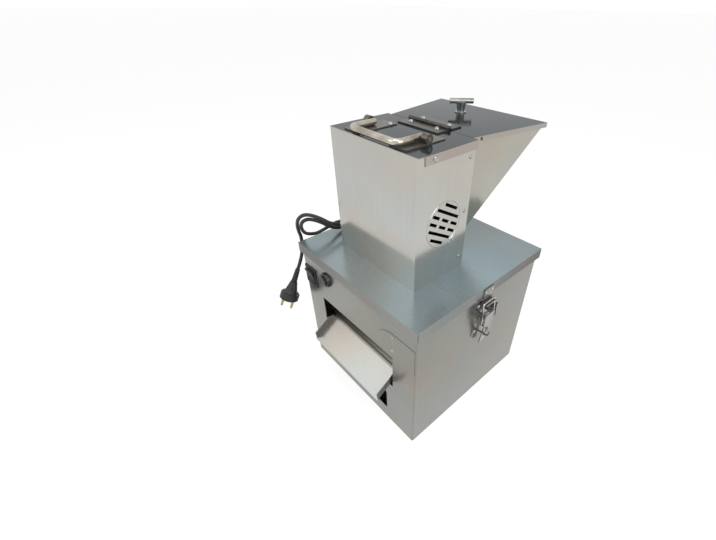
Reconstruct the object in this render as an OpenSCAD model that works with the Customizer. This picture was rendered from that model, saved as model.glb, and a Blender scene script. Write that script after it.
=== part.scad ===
// Electric grain mill. A bent-sheet case catches the flour and carries a loose top: a square lid
// with the motor tower and the feed hopper on it and the grinding chamber hanging under it.
// Units are millimetres. The origin is the middle of the case's footprint, on the table.
// +X is the side with the visible latch, -Y is the front with the flour outlet, +Z is up.

/* [Case and lid] */
// Width of the square lid plate, left to right
lid_w = 300; // [296:1:312]
// Depth of the lid plate, front to back
lid_d = 303; // [299:1:315]
// Height of the lid's top face above the table
lid_top = 272; // [268:1:280]
// Thickness of the bent steel sheet
sheet = 1.2; // [1:0.1:1.4]
// Height of the lid's turned-down skirt
skirt_h = 18.5; // [16:0.5:21]
// How far the case walls stand inside the lid's edges
wall_inset = 4; // [3.6:0.1:5]
// Open slit at each corner of the skirt
corner_slit = 1; // [0.5:0.1:2]

/* [Front openings] */
// Width of the flour outlet
outlet_w = 192; // [188:1:200]
// Bottom edge of the flour outlet
outlet_low = 104; // [102:1:106]
// Top edge of the flour outlet
outlet_high = 176; // [170:1:177]
// Width of the lower hand hole
hand_w = 160; // [140:1:170]
// Bottom edge of the hand hole
hand_low = 28; // [20:1:34]
// Top edge of the hand hole
hand_high = 82; // [76:1:84]
// Radius of the hand hole's upper corners
hand_round = 16; // [8:1:20]

/* [Chute and slide] */
// Width over the chute's cheeks
chute_w = 184; // [176:1:186]
// How far the chute's lip stands out from the case
chute_reach = 30.5; // [26:0.5:36]
// Height of the chute's lip above the table
chute_lip = 91; // [89:1:93]
// Slope of the chute
chute_slope = 34; // [32:1:35]
// Height of the chute's cheeks
cheek_h = 16; // [12:1:20]
// How far the chute reaches inside the case
chute_inside = 17.5; // [14:0.5:22]
// Slope of the slide plate inside the case
slide_slope = 17.3; // [16:0.1:18]
// Depth of the slide plate's side flanges
slide_flange = 10; // [8:1:12]

/* [Motor tower] */
// Width of the tower
tower_w = 180; // [176:1:186]
// Depth of the tower
tower_d = 107; // [105:1:110]
// Height of the tower's walls above the lid
tower_h = 198; // [192:1:206]
// Tower centre, left or right of the middle
tower_x = -4; // [-6:1:-2]
// Tower centre, in front of the middle
tower_y = -42.3; // [-44:0.1:-41]
// Depth of the inner flanges at the sheets' feet
flange_in = 12; // [11:0.5:13]
// Depth of the tower's inner flange under its cover
top_flange = 8.5; // [7:0.5:9]
// Height of the cover's side flanges
cover_flange = 11; // [9:0.5:13]
// Diameter of the round vent
vent_d = 61; // [55:1:64]
// Height of one vent slot
slot_h = 4.6; // [4:0.1:5.2]
// Distance from slot row to slot row
slot_pitch = 10.7; // [10:0.1:11.5]
// Slope of the vent slots
slot_tilt = 30; // [20:1:40]
// Rib that parts the slots in the two middle rows
slot_rib = 6; // [5:0.5:8]

/* [Hopper] */
// Width at the top, beside the tower
hopper_front_w = 160; // [154:1:166]
// Length at the top, away from the tower
hopper_len = 145.8; // [138:0.1:150]
// Width that one side gains per millimetre of length
hopper_flare = 0.1715; // [0.15:0.001:0.18]
// Width of the hopper's mouth
mouth_w = 90.4; // [86:0.1:95]
// Length of the mouth
mouth_len = 28; // [27:0.5:29]
// Height of the feed throat under the mouth
throat_h = 10; // [9:0.5:12]
// Depth of the hopper lid's skirt
hopper_skirt = 6; // [4:0.5:8]
// Length of the bar across the lid's knob
knob_bar = 38; // [34:1:42]

/* [Carry handle] */
// Distance between the handle's two arms
handle_w = 94; // [88:1:100]
// Length of the arms, pivot to front bar
handle_reach = 41; // [38:0.5:42]
// Diameter of the handle's bar
handle_d = 9; // [8:0.5:9]
// Radius of the handle's bends
handle_bend = 10; // [8:1:14]
// Diameter of the handle's pivot ends
handle_pin_d = 6; // [5:0.5:6.5]

/* [Motor] */
// Outer diameter of the motor can
can_d = 92; // [88:1:94]
// Wall of the motor can
can_wall = 3; // [2.5:0.5:4]
// Length of the motor can
can_h = 108; // [104:1:112]
// Diameter of the armature
armature_d = 52; // [48:1:53]
// Air gap between stator and armature
air_gap = 1; // [0.6:0.1:1.5]
// Diameter of the shaft in the lower bearing
shaft_d = 12; // [11:0.5:13]
// Diameter of the shaft's two ends
shaft_end_d = 10; // [9:0.5:10.5]
// Diameter of the cooling fan
fan_d = 76; // [66:1:82]

/* [Grinding chamber] */
// Outer diameter of the sieve ring
sieve_d = 176; // [174:1:178]
// Height of the sieve ring
sieve_h = 44.8; // [43:0.1:47]
// Diameter of one sieve hole
sieve_hole = 6; // [4:0.5:7]
// Tip-to-tip length of a cutting blade
blade_len = 164; // [150:1:168]
// Width of a cutting blade
blade_w = 24; // [20:1:28]
// Thickness of a cutting blade
blade_t = 3; // [2.5:0.5:3.5]
// Thickness of the chamber's upper plate
plate_t = 4; // [3.5:0.5:5]

/* [Latches] */
// Latch centre along the case's side
latch_y = 2; // [-2:1:5]
// Height of the lever's pivot under the lid's top face
latch_drop = 54; // [53:1:55]
// Wire diameter of the bail and of the staple
wire_d = 3; // [2.6:0.2:3]
// Width of the lever at its pivot
lever_w = 24; // [22:1:25]
// Sheet of the latch parts
latch_t = 1.5; // [1.3:0.1:1.5]

/* [Switches] */
// Width of the rocker switch's frame
switch_w = 34; // [30:1:34]
// Height of the rocker switch's frame
switch_h = 38; // [36:1:40]
// Diameter of the overload button's collar
collar_d = 28; // [26:1:30]

/* [Fixings] */
// Diameter of the sheet-metal screws
screw_d = 4; // [3.5:0.5:4]
// Diameter of the pop rivets
rivet_d = 3.2; // [3:0.2:4]
// Diameter of the motor bolts
bolt_d = 6; // [5:0.5:6]

/* [Cord] */
// Diameter of the mains cord
cord_d = 6.5; // [6:0.5:6.5]

/* [Hidden] */
$fn = 48;
e = 0.01;                    // how far a cutting shape runs past the face it cuts
hole_play = 0.4;             // a screw's or rivet's hole is this much wider than its shank
run = 0.05;                  // radial clearance of a pivot
soft = 0.3;                  // clearance between neighbours that move past each other

// Case: outer faces of the walls and the top of the walls
case_x = lid_w / 2 - wall_inset;
case_y = lid_d / 2 - wall_inset;
lid_low = lid_top - sheet;
skirt_low = lid_top - skirt_h;

// Tower: its four outer faces, its top and the motor's axis
left_x = tower_x - tower_w / 2;
right_x = tower_x + tower_w / 2;
front_y = tower_y - tower_d / 2;
back_y = tower_y + tower_d / 2;
wall_top = lid_top + tower_h;
cover_top = wall_top + sheet;
vent_y = tower_y + 1;
vent_z = lid_top + 93.6;
rivet_y = back_y - 9.2;
rivet_low = lid_top + 20.8;
rivet_pitch = (wall_top - 19.2 - rivet_low) / 2;

// Chute: its lip, and its floor line as a function of y
lip_y = -case_y - chute_reach;
chute_top_y = -case_y + chute_inside;
chute_run = (chute_top_y - lip_y) / cos(chute_slope);
function chute_z(y) = chute_lip + (y - lip_y) * tan(chute_slope);
slide_front = chute_top_y + 1;
slide_back = case_y - sheet;
function slide_z(y) = chute_z(chute_top_y) + 4.2 + (y - slide_front) * tan(slide_slope);

// Hopper: its mouth, its rim and the slope of its side walls
mouth_z = lid_top + throat_h;
rim_z = wall_top - soft;
rise = wall_top - mouth_z;
side_lean = (hopper_front_w - mouth_w) / 2 / rise;
rear_lean = (hopper_len - mouth_len) / rise;
feed_w = 76;
feed_y = [back_y + 3.8, back_y + 22.8];

// Hinge of the hopper lid
hinge_len = 80;
knuckle_r = 3.2;
hinge_pin_r = 1.5;
leaf_t = 2;
knuckles = 5;
hinge_y = back_y + 2.9;
hinge_z = cover_top + knuckle_r + 0.2;
lid_front_y = hinge_y + 0.5;
hopper_lid_t = sheet;
hopper_lid_end = back_y + hopper_len + soft + sheet;
hinge_screw_x = 26;

// Carry handle
pivot_y = front_y + 4.8 + handle_reach;
handle_plate_t = 1.5;
handle_z = cover_top + handle_plate_t + handle_d / 2 + 0.4;
handle_plate_w = 32;
handle_plate_y = [pivot_y - 40, pivot_y + 30];

// Motor, from the lid's top face upwards
mount_t = 12;
mount_w = 96;
bolt_at = 39.6;
can_low = lid_top + mount_t;
can_high = can_low + can_h;
cap_t = 10;
cap_boss_h = 6;
cap_top = can_high + cap_t + cap_boss_h;
lower_bearing = [32, 10];    // outer diameter, height
upper_bearing = [26, 8];
seal_d = 30;
core = [can_low + 21, can_low + 81];
coil_h = 12;
commutator = [core[1] + 11, core[1] + 25];
commutator_d = 30;
fan_low = cap_top + 4;
fan_h = 16;
shaft_top = fan_low + fan_h + 2;

// Grinding chamber, from the lid's under face downwards
plate_low = lid_low - plate_t;
plate_r = sieve_d / 2 + 12;
sieve_low = plate_low - sieve_h;
floor_t = 1.5;
sieve_wall = 1.2;
stud_r = sieve_d / 2 + 6;
stud_d = 6;
upper_blade = plate_low - 13.8;
lower_blade = upper_blade - 12;
spacer_d = 30;
nut_h = 8;

// Latches
pivot_z = lid_top - latch_drop;
pivot_out = 8;               // pivot centre's distance from the case wall
bail_at = [3.8, -8];         // bail's pivot from the lever's pivot, outwards and up
hook_z = lid_top - 29;       // the bail's bar, held by the keeper's hook
hook_out = 9.2;              // that bar's distance from the case wall
hook_gap = 1.6;              // from the bar to the keeper's lip
pin_r = 1.5;
cheek_y = 18;                // inner faces of the base's two cheeks
bail_y = 15;                 // middle of the bail's legs
wire_sides = 16;
staple_z = 179;              // middle of the staple
staple_r = 8;

// Rocker switch and overload button on the front wall
switch_x = -127;
switch_z = 209;
bezel_t = 2;
rocker_tilt = 8;
button_x = -74;
button_z = 230;
collar_t = 6;
button_d = 18;

// Cord gland on the tower's left wall
gland_y = -16;
gland_z = 292;
gland_len = 20;
lead_hole = [-88, -80];      // where the switch lead passes the lid

// The mains cord's route: from the gland over the lid's left strip, up into a hump, round and down
// past the lid's front corner, back along the strip, a loop behind the case, forward again, over
// the same hump and down to the plug.
cord_start = [left_x - gland_len, gland_y, gland_z];
cord_end = [-175, -151, 199];
plug_tilt = atan2(7, 13);
cord_route = [cord_start, [-124, -16, 292], [-134, -21, 290], [-140, -34, 285],
    [-140, -50, 280], [-136, -65, 278], [-133, -79, 281], [-133, -94, 289],
    [-138, -105, 298], [-144, -116, 305],
    [-151, -125, 307], [-159, -131, 302], [-167, -132, 292], [-173, -129, 279],
    [-178, -121, 266], [-180, -110, 259], [-178, -98, 257], [-174, -86, 261],
    [-166, -75, 269], [-158, -64, 276], [-150, -50, 278], [-146, -32, 275.6],
    [-146, 10, 275.5], [-146, 60, 275.5], [-144, 104, 275.6], [-141, 130, 276],
    [-139, 146, 278.5], [-138, 158, 275.5], [-137, 165, 263], [-137, 166, 244],
    [-136, 166, 215], [-134, 166, 165], [-125, 166, 137],
    [-102, 166, 125], [-79, 166, 137], [-70, 166, 165], [-70, 166, 215], [-70, 166, 244],
    [-70, 165, 263], [-71, 158, 275.5], [-72, 146, 278.5], [-75, 130, 276],
    [-84, 100, 275.6], [-99, 60, 275.5],
    [-107, 20, 275.5], [-110, -15, 275.5], [-112, -40, 277], [-116, -62, 283],
    [-121, -80, 292], [-126, -97, 300], [-134, -111, 311], [-145, -123, 317],
    [-156, -131, 315], [-168, -135, 304], [-178, -134, 289], [-184, -131, 272],
    [-185, -128, 257], [-183, -130, 241], [-178, -136, 226], [-175, -144, 212], cord_end];
cord_sides = 8;
cord_step = 2.6 * cord_d;    // longest distance from ring to ring

// ---------- helpers ----------

// A curve through the points of a route, in steps of at most about the given length
function curve_point(route, i, t) =
    let (a = route[max(i - 1, 0)], b = route[i], c = route[i + 1],
         d = route[min(i + 2, len(route) - 1)])
    0.5 * (2 * b + (c - a) * t + (2 * a - 5 * b + 4 * c - d) * t * t
        + (3 * b - 3 * c + d - a) * t * t * t);
function smooth(route, step) = [
    for (i = [0:len(route) - 2])
        let (n = max(1, round(norm(route[i + 1] - route[i]) / step)))
        for (k = [0:n - 1]) curve_point(route, i, k / n),
    route[len(route) - 1]];

// A rounded corner of a wire that comes in along -u and goes out along v
function bend(corner, u, v, r) =
    [for (a = [0:22.5:90]) corner + r * (1 - sin(a)) * u + r * (1 - cos(a)) * v];

// A round flexible tube along a path: rings of points, square to the path, joined into walls
function unit(v) = v / norm(v);
function heading(path, i) = unit(path[min(i + 1, len(path) - 1)] - path[max(i - 1, 0)]);
function across(n, h) = unit(n - (n * h) * h);
function start_normal(h) = across(abs(h.z) < 0.9 ? [0, 0, 1] : [1, 0, 0], h);
function normals(path) = [
    for (i = 0, n = start_normal(heading(path, 0)); i < len(path);
         i = i + 1, n = i < len(path) ? across(n, heading(path, i)) : n) n];

module tube(path, d, sides) {
    last = len(path) - 1;
    normal = normals(path);
    points = [
        for (i = [0:last], k = [0:sides - 1])
            let (n = normal[i], b = cross(heading(path, i), n), a = k * 360 / sides)
            path[i] + d / 2 * (cos(a) * n + sin(a) * b)];
    walls = [
        for (i = [0:last - 1], k = [0:sides - 1], half = [0, 1])
            let (m = (k + 1) % sides, a = i * sides, b = a + sides)
            half == 0 ? [a + k, b + k, b + m] : [a + k, b + m, a + m]];
    ends = [[for (k = [0:sides - 1]) k],
            [for (k = [sides - 1:-1:0]) last * sides + k]];
    polyhedron(points = points, faces = concat(walls, ends));
}

// A box from its ends along each axis
module box(x, y, z) {
    translate([x[0], y[0], z[0]])
        cube([x[1] - x[0], y[1] - y[0], z[1] - z[0]]);
}

// A (y, z) outline drawn out along X from a to b
module along_x(a, b) {
    translate([a, 0, 0])
        rotate([90, 0, 90])
            linear_extrude(b - a)
                children();
}

// An (x, z) outline drawn out along Y from a to b
module along_y(a, b) {
    translate([0, b, 0])
        rotate([90, 0, 0])
            linear_extrude(b - a)
                children();
}

// An (x, y) outline drawn out along Z from a to b
module along_z(a, b) {
    translate([0, 0, a])
        linear_extrude(b - a)
            children();
}

// Directions that a fixing on a wall faces
module facing_front(x, z) {
    translate([x, -case_y, z])
        rotate([90, 0, 0])
            children();
}

module facing_right(x, y, z) {
    translate([x, y, z])
        rotate([0, 90, 0])
            children();
}

module facing_left(x, y, z) {
    translate([x, y, z])
        rotate([0, -90, 0])
            children();
}

// Everything for the right side, then again mirrored for the left
module both_sides() {
    children();
    mirror([1, 0, 0])
        children();
}

// Moves the motor's own pieces onto the motor's axis
module on_axis(z) {
    translate([tower_x, tower_y, z])
        children();
}

module ring(d_out, d_in, h) {
    difference() {
        cylinder(d = d_out, h = h);
        translate([0, 0, -e])
            cylinder(d = d_in, h = h + 2 * e);
    }
}

// Screw with its head on z = 0, through a stack of the given thickness, and its nut below
module screw(grip) {
    cylinder(d1 = 2 * screw_d, d2 = 1.4 * screw_d, h = 0.55 * screw_d);
    translate([0, 0, -grip - 0.8 * screw_d])
        cylinder(d = screw_d, h = grip + 0.8 * screw_d);
    translate([0, 0, -grip - 0.7 * screw_d])
        cylinder(d = 1.9 * screw_d, h = 0.7 * screw_d, $fn = 6);
}

module screw_hole(grip) {
    translate([0, 0, -grip - 1])
        cylinder(d = screw_d + hole_play, h = grip + 2);
}

// Pop rivet with its head on z = 0
module rivet(grip) {
    cylinder(d1 = 2 * rivet_d, d2 = 1.3 * rivet_d, h = 0.4 * rivet_d);
    translate([0, 0, -grip - 0.4 * rivet_d])
        cylinder(d = rivet_d, h = grip + 0.4 * rivet_d);
    translate([0, 0, -grip - 0.45 * rivet_d])
        cylinder(d = 1.5 * rivet_d, h = 0.45 * rivet_d);
}

module rivet_hole(grip) {
    translate([0, 0, -grip - 1])
        cylinder(d = rivet_d + hole_play, h = grip + 2);
}

// ---------- where the fixings sit ----------

module at_chute_screws() {
    for (x = [-35, 35])
        facing_front(x, outlet_low - 8)
            children();
}

module at_latch_screws() {
    both_sides()
        for (y = [-15, 15], z = [pivot_z + 17, pivot_z - 38])
            facing_right(case_x + latch_t, latch_y + y, z)
                children();
}

module at_corner_rivets() {
    for (p = [[98, 222], [97, 194]])
        translate([0, -corner_plate_t, 0])
            facing_front(p.x, p.y)
                children();
}

module at_tower_rivets() {
    for (k = [0:2]) {
        facing_right(right_x, rivet_y, rivet_low + k * rivet_pitch)
            children();
        facing_left(left_x, rivet_y, rivet_low + k * rivet_pitch)
            children();
    }
}

module at_keeper_rivets() {
    both_sides()
        for (y = [-8, 8])
            facing_right(lid_w / 2 + latch_t, latch_y + y, skirt_low + 8)
                children();
}

module at_foot_screws() {
    for (p = [[left_x + 8, tower_y], [right_x - 8, tower_y],
              [tower_x - 62, front_y + 7], [tower_x + 62, front_y + 7]])
        translate([p.x, p.y, lid_top + sheet])
            children();
}

module at_cover_side_screws() {
    for (y = [front_y + 28])
        union() {
            facing_right(right_x + sheet, y, wall_top - 5.5)
                children();
            facing_left(left_x - sheet, y, wall_top - 5.5)
                children();
        }
}

module at_handle_screws() {
    in = handle_w / 2 - 10.5;    // inwards of the handle's arms
    for (x = [-in, in], y = [handle_plate_y[0] + 8, handle_plate_y[1] - 8])
        translate([tower_x + x, y, cover_top + handle_plate_t])
            children();
}

module at_front_leaf_screws() {
    for (x = [-hinge_screw_x, hinge_screw_x])
        translate([tower_x + x, hinge_y - 11, cover_top + leaf_t])
            children();
}

module at_rear_leaf_screws() {
    for (x = [-hinge_screw_x, hinge_screw_x])
        translate([tower_x + x, hinge_y + 15, cover_top + leaf_t])
            children();
}

module at_bolts() {
    for (x = [-bolt_at, bolt_at], y = [-bolt_at, bolt_at])
        translate([tower_x + x, tower_y + y, can_low])
            children();
}

// ---------- case ----------

corner_plate_t = 0.8;
corner_arc = [101, 178];
corner_arc_r = 51;

module hand_hole() {
    x = hand_w / 2;
    translate([-x, hand_low])
        square([hand_w, hand_high - hand_low - hand_round]);
    translate([-x + hand_round, hand_low])
        square([hand_w - 2 * hand_round, hand_high - hand_low]);
    for (s = [-1, 1])
        translate([s * (x - hand_round), hand_high - hand_round])
            circle(hand_round);
}

module case_body() {
    color("silver") difference() {
        union() {
            difference() {
                box([-case_x, case_x], [-case_y, case_y], [0, lid_low]);
                box([-case_x + sheet, case_x - sheet], [-case_y + sheet, case_y - sheet],
                    [-1, lid_low + 1]);
            }
            // inward flange that rests on the floor plate
            difference() {
                box([-case_x + e, case_x - e], [-case_y + e, case_y - e], [sheet, 2 * sheet]);
                box([-case_x + flange_in, case_x - flange_in],
                    [-case_y + flange_in, case_y - flange_in], [0, 3 * sheet]);
            }
        }
        // flour outlet, hand hole and the two control holes in the front wall
        box([-outlet_w / 2, outlet_w / 2], [-case_y - 1, -case_y + sheet + 1],
            [outlet_low, outlet_high]);
        along_y(-case_y - 1, -case_y + sheet + 1)
            hand_hole();
        box([switch_x - switch_w / 2 + 3, switch_x + switch_w / 2 - 3],
            [-case_y - 1, -case_y + sheet + 1],
            [switch_z - switch_h / 2 + 3, switch_z + switch_h / 2 - 3]);
        facing_front(button_x, button_z)
            translate([0, 0, -5])
                cylinder(d = button_d + 5, h = 10);
        at_chute_screws()
            screw_hole(sheet);
        at_latch_screws()
            screw_hole(latch_t + sheet);
        at_corner_rivets()
            rivet_hole(corner_plate_t + sheet);
    }
}

module case_floor() {
    color("gainsboro")
        box([-case_x + sheet, case_x - sheet], [-case_y + sheet, case_y - sheet], [0, sheet]);
}

// Sloping plate that carries the flour forward onto the chute
module slide_plate() {
    t = sheet / cos(slide_slope);
    x = case_x - sheet;
    tongue = 6;
    color("gainsboro") {
        along_x(-x, x)
            polygon([[slide_front, slide_z(slide_front)], [slide_back, slide_z(slide_back)],
                     [slide_back, slide_z(slide_back) + t],
                     [slide_front, slide_z(slide_front) + t]]);
        // tongue that reaches between the chute's cheeks
        along_x(-chute_w / 2 + 3, chute_w / 2 - 3)
            polygon([[slide_front - tongue, slide_z(slide_front - tongue)],
                     [slide_front + e, slide_z(slide_front + e)],
                     [slide_front + e, slide_z(slide_front + e) + t],
                     [slide_front - tongue, slide_z(slide_front - tongue) + t]]);
        for (a = [-x, x - sheet])
            along_x(a, a + sheet)
                polygon([[slide_front, slide_z(slide_front) - slide_flange],
                         [slide_back, slide_z(slide_back) - slide_flange],
                         [slide_back, slide_z(slide_back) + t / 2],
                         [slide_front, slide_z(slide_front) + t / 2]]);
        box([-x, x], [slide_back - sheet, slide_back],
            [slide_z(slide_back) - slide_flange, slide_z(slide_back) + t / 2]);
    }
}

module on_slope() {
    translate([lip_y, chute_lip])
        rotate(chute_slope)
            children();
}
module cheek_outline() {
    tall = cheek_h * cos(chute_slope);
    end = chute_run - 1;
    polygon([[1, -sheet], [tall * tan(chute_slope), tall],
             for (a = [90:-7.5:0]) [end - tall + tall * cos(a), tall * sin(a)],
             [end, -sheet]]);
}

module outlet_chute() {
    x = chute_w / 2;
    color("gainsboro") difference() {
        union() {
            along_x(-x, x)
                on_slope()
                    polygon([[0, -sheet], [chute_run, -sheet], [chute_run, 0], [0, 0]]);
            for (a = [-x, x - sheet])
                along_x(a, a + sheet)
                    on_slope()
                        cheek_outline();
            // fixing flange behind the bar between the two front openings
            box([-x + 12, x - 12], [-case_y + sheet, -case_y + 2 * sheet],
                [outlet_low - 16, chute_z(-case_y + sheet) - 0.5]);
        }
        at_chute_screws()
            screw_hole(2 * sheet);
    }
}

// Thin plate with a round edge, riveted beside the outlet's upper right corner
module corner_plate() {
    color("darkgray") difference() {
        along_y(-case_y - corner_plate_t, -case_y) {
            intersection() {
                translate(corner_arc)
                    circle(corner_arc_r, $fn = 96);
                translate([corner_arc.x - corner_arc_r, corner_arc.y])
                    square(corner_arc_r);
            }
            translate([corner_arc.x - 1, corner_arc.y])
                square([case_x - 1 - corner_arc.x, corner_arc_r]);
        }
        at_corner_rivets()
            rivet_hole(corner_plate_t + sheet);
    }
}

module case_screws() {
    color("lightgray") {
        at_chute_screws()
            screw(2 * sheet);
        at_latch_screws()
            screw(latch_t + sheet);
    }
}

module rivets() {
    color("lightgray") {
        at_corner_rivets()
            rivet(corner_plate_t + sheet);
        at_tower_rivets()
            rivet(2 * sheet);
        at_keeper_rivets()
            rivet(latch_t + sheet);
    }
}

// ---------- controls on the front wall ----------

module switch_frame() {
    w = switch_w;
    h = switch_h;
    color("dimgray")
        translate([switch_x, -case_y, switch_z])
            difference() {
                union() {
                    box([-w / 2, w / 2], [-bezel_t, 0], [-h / 2, h / 2]);
                    box([-w / 2 + 3.2, w / 2 - 3.2], [-e, 22], [-h / 2 + 3.2, h / 2 - 3.2]);
                    for (z = [-8, 8])
                        box([-3, 3], [22 - e, 30], [z - 0.4, z + 0.4]);
                }
                box([-w / 2 + 5, w / 2 - 5], [-bezel_t - 1, 10], [-h / 2 + 4.5, h / 2 - 4.5]);
            }
}

// Rocker with a shallow valley across its face, at rest with one end pressed in
module switch_rocker() {
    r = switch_h / 2 - 4.5 - 1;
    color("black")
        translate([switch_x, -case_y - 1, switch_z])
            rotate([rocker_tilt, 0, 0])
                along_x(-switch_w / 2 + 5 + soft, switch_w / 2 - 5 - soft)
                    polygon([[-4.5, -r], [-2, 0], [-4.5, r], [2, r], [6.5, 4], [6.5, -4], [2, -r]]);
}

module breaker_body() {
    color("black")
        facing_front(button_x, button_z)
            difference() {
                union() {
                    cylinder(d1 = collar_d, d2 = collar_d - 4, h = collar_t);
                    translate([0, 0, -28])
                        cylinder(d = button_d + 4.6, h = 28 + e);
                }
                translate([0, 0, -12])
                    cylinder(d = button_d + 2 * soft, h = collar_t + 13);
            }
}

module reset_button() {
    color("black")
        facing_front(button_x, button_z) {
            translate([0, 0, -9])
                cylinder(d = button_d, h = collar_t + 11);
            translate([0, 0, collar_t + 2 - e])
                cylinder(d1 = button_d, d2 = button_d - 4, h = 1.5);
        }
}

// ---------- lid of the case ----------

module base_lid() {
    x = lid_w / 2;
    y = lid_d / 2;
    color("slategray") difference() {
        union() {
            box([-x, x], [-y, y], [lid_low, lid_top]);
            for (s = [-y, y - sheet])
                box([-x, x], [s, s + sheet], [skirt_low, lid_top]);
            for (s = [-x, x - sheet])
                box([s, s + sheet], [-y + sheet + corner_slit, y - sheet - corner_slit],
                    [skirt_low, lid_top]);
        }
        on_axis(lid_low - 1)
            cylinder(d = seal_d, h = sheet + 2);
        feed_hole();
        lead_passage();
        at_bolts()
            bolt_hole();
        at_foot_screws()
            screw_hole(2 * sheet + plate_t);
        at_keeper_rivets()
            rivet_hole(latch_t + sheet);
    }
}

// The way of the grain through the lid and the chamber plate
module feed_hole() {
    box([tower_x - feed_w / 2, tower_x + feed_w / 2], feed_y, [plate_low - 1, lid_top + 1]);
}

module lead_passage() {
    translate([lead_hole.x, lead_hole.y, plate_low - 1])
        cylinder(d = 9, h = plate_t + 3 * sheet + 1);
}

module bolt_hole() {
    translate([0, 0, -mount_t - sheet - plate_t - 1])
        cylinder(d = bolt_d + hole_play, h = mount_t + sheet + plate_t + 2);
}

// ---------- tower ----------

function row_reach(k) = sqrt(pow(vent_d / 2, 2) - pow((k - 2.5) * slot_pitch, 2));

module vent_slots() {
    for (k = [0:5])
        translate([0, (k - 2.5) * slot_pitch]) {
            difference() {
                translate([-row_reach(k), -slot_h / 2])
                    square([2 * row_reach(k), slot_h]);
                if (k == 2 || k == 3)
                    for (s = [-1, 1])
                        translate([s * (row_reach(k) / 3 + 1) - slot_rib / 2, -slot_h])
                            square([slot_rib, 2 * slot_h]);
            }
        }
}

// Front and both sides in one bent sheet, with flanges at its foot
module tower_wrap() {
    color("lightgray") difference() {
        union() {
            difference() {
                box([left_x, right_x], [front_y, back_y], [lid_top, wall_top]);
                box([left_x + sheet, right_x - sheet], [front_y + sheet, back_y + 1],
                    [lid_top - 1, wall_top + 1]);
            }
            // foot flanges of the three walls, and a top flange at the front
            box([left_x + sheet - e, left_x + flange_in], [front_y + sheet, back_y - 18],
                [lid_top, lid_top + sheet]);
            box([right_x - flange_in, right_x - sheet + e], [front_y + sheet, back_y - 18],
                [lid_top, lid_top + sheet]);
            box([left_x + flange_in - e, right_x - flange_in + e],
                [front_y + sheet - e, front_y + flange_in], [lid_top, lid_top + sheet]);
            box([left_x + sheet - e, right_x - sheet + e],
                [front_y + sheet - e, front_y + top_flange], [wall_top - sheet, wall_top]);
            // pressed ring round the vent
            facing_right(right_x, vent_y, vent_z)
                rotate_extrude($fn = 96)
                    translate([vent_d / 2 + 4, -0.2])
                        circle(0.9, $fn = 16);
        }
        along_x(right_x - sheet - 1, right_x + 2)
            translate([vent_y, vent_z])
                rotate(-slot_tilt)
                    vent_slots();
        at_tower_rivets()
            rivet_hole(2 * sheet);
        at_cover_side_screws()
            screw_hole(2 * sheet);
        at_foot_screws()
            screw_hole(2 * sheet);
        facing_left(left_x, gland_y, gland_z)
            translate([0, 0, -sheet - 1])
                cylinder(d = gland_thread + hole_play, h = sheet + 2);
        translate([lead_hole.x, lead_hole.y, lid_top - 1])
            cylinder(d = 9, h = sheet + 2);
        motor_room();
    }
}

// Where the tower's foot flanges leave room for the motor's flange
module motor_room() {
    w = mount_w / 2 + 1;
    on_axis(lid_top - 1)
        box([-w, w], [-w, w], [0, sheet + 2]);
}

// Back wall, set between the side walls and riveted to them
module tower_back() {
    color("lightgray") difference() {
        union() {
            box([left_x + sheet, right_x - sheet], [back_y - sheet, back_y], [lid_top, wall_top]);
            for (x = [left_x + sheet, right_x - 2 * sheet])
                box([x, x + sheet], [back_y - 16, back_y - e], [lid_top, wall_top]);
            box([left_x + 2 * sheet - e, right_x - 2 * sheet + e],
                [back_y - flange_in, back_y - e], [lid_top, lid_top + sheet]);
            box([left_x + 2 * sheet - e, right_x - 2 * sheet + e],
                [back_y - flange_in, back_y - e], [wall_top - sheet, wall_top]);
        }
        at_tower_rivets()
            rivet_hole(2 * sheet);
        at_front_leaf_screws()
            screw_hole(leaf_t + 2 * sheet);
        motor_room();
    }
}

module tower_cover() {
    rear = hinge_y - 0.5;
    step = front_y + 10.8;
    color("slategray") difference() {
        union() {
            box([left_x, right_x], [front_y, rear], [wall_top, cover_top]);
            box([left_x - sheet, right_x + sheet], [step, rear], [wall_top, cover_top]);
            for (x = [left_x - sheet, right_x])
                box([x, x + sheet], [step, rear], [wall_top - cover_flange, cover_top]);
        }
        at_cover_side_screws()
            screw_hole(2 * sheet);
        at_handle_screws()
            screw_hole(handle_plate_t + 2 * sheet);
        at_front_leaf_screws()
            screw_hole(leaf_t + 2 * sheet);
    }
}

module tower_screws() {
    color("lightgray") {
        at_foot_screws()
            screw(2 * sheet + plate_t);
        at_cover_side_screws()
            screw(2 * sheet);
        at_front_leaf_screws()
            screw(leaf_t + 2 * sheet);
        at_handle_screws()
            screw(handle_plate_t + sheet);
    }
}

// ---------- carry handle ----------

module handle_plates() {
    barrel_r = handle_z - cover_top;
    color("dimgray") difference() {
        for (s = [-1, 1])
            translate([tower_x + s * handle_w / 2, 0, 0]) {
                box([-handle_plate_w / 2, handle_plate_w / 2], handle_plate_y,
                    [cover_top, cover_top + handle_plate_t]);
                // barrel on the plate's outer half
                translate([s > 0 ? handle_d / 2 + 1.5 : -handle_plate_w / 2, pivot_y, handle_z])
                    rotate([0, 90, 0])
                        cylinder(r = barrel_r, h = handle_plate_w / 2 - handle_d / 2 - 1.5);
            }
        translate([tower_x - handle_w, pivot_y, handle_z])
            rotate([0, 90, 0])
                cylinder(d = handle_pin_d + 2 * run, h = 2 * handle_w);
        // the arms' own room
        for (s = [-1, 1])
            translate([tower_x + s * handle_w / 2 - handle_d / 2 - 1.5, pivot_y, handle_z])
                rotate([0, 90, 0])
                    cylinder(d = handle_d + 0.4, h = handle_d + 3);
        at_handle_screws()
            screw_hole(handle_plate_t + sheet);
    }
}

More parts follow.
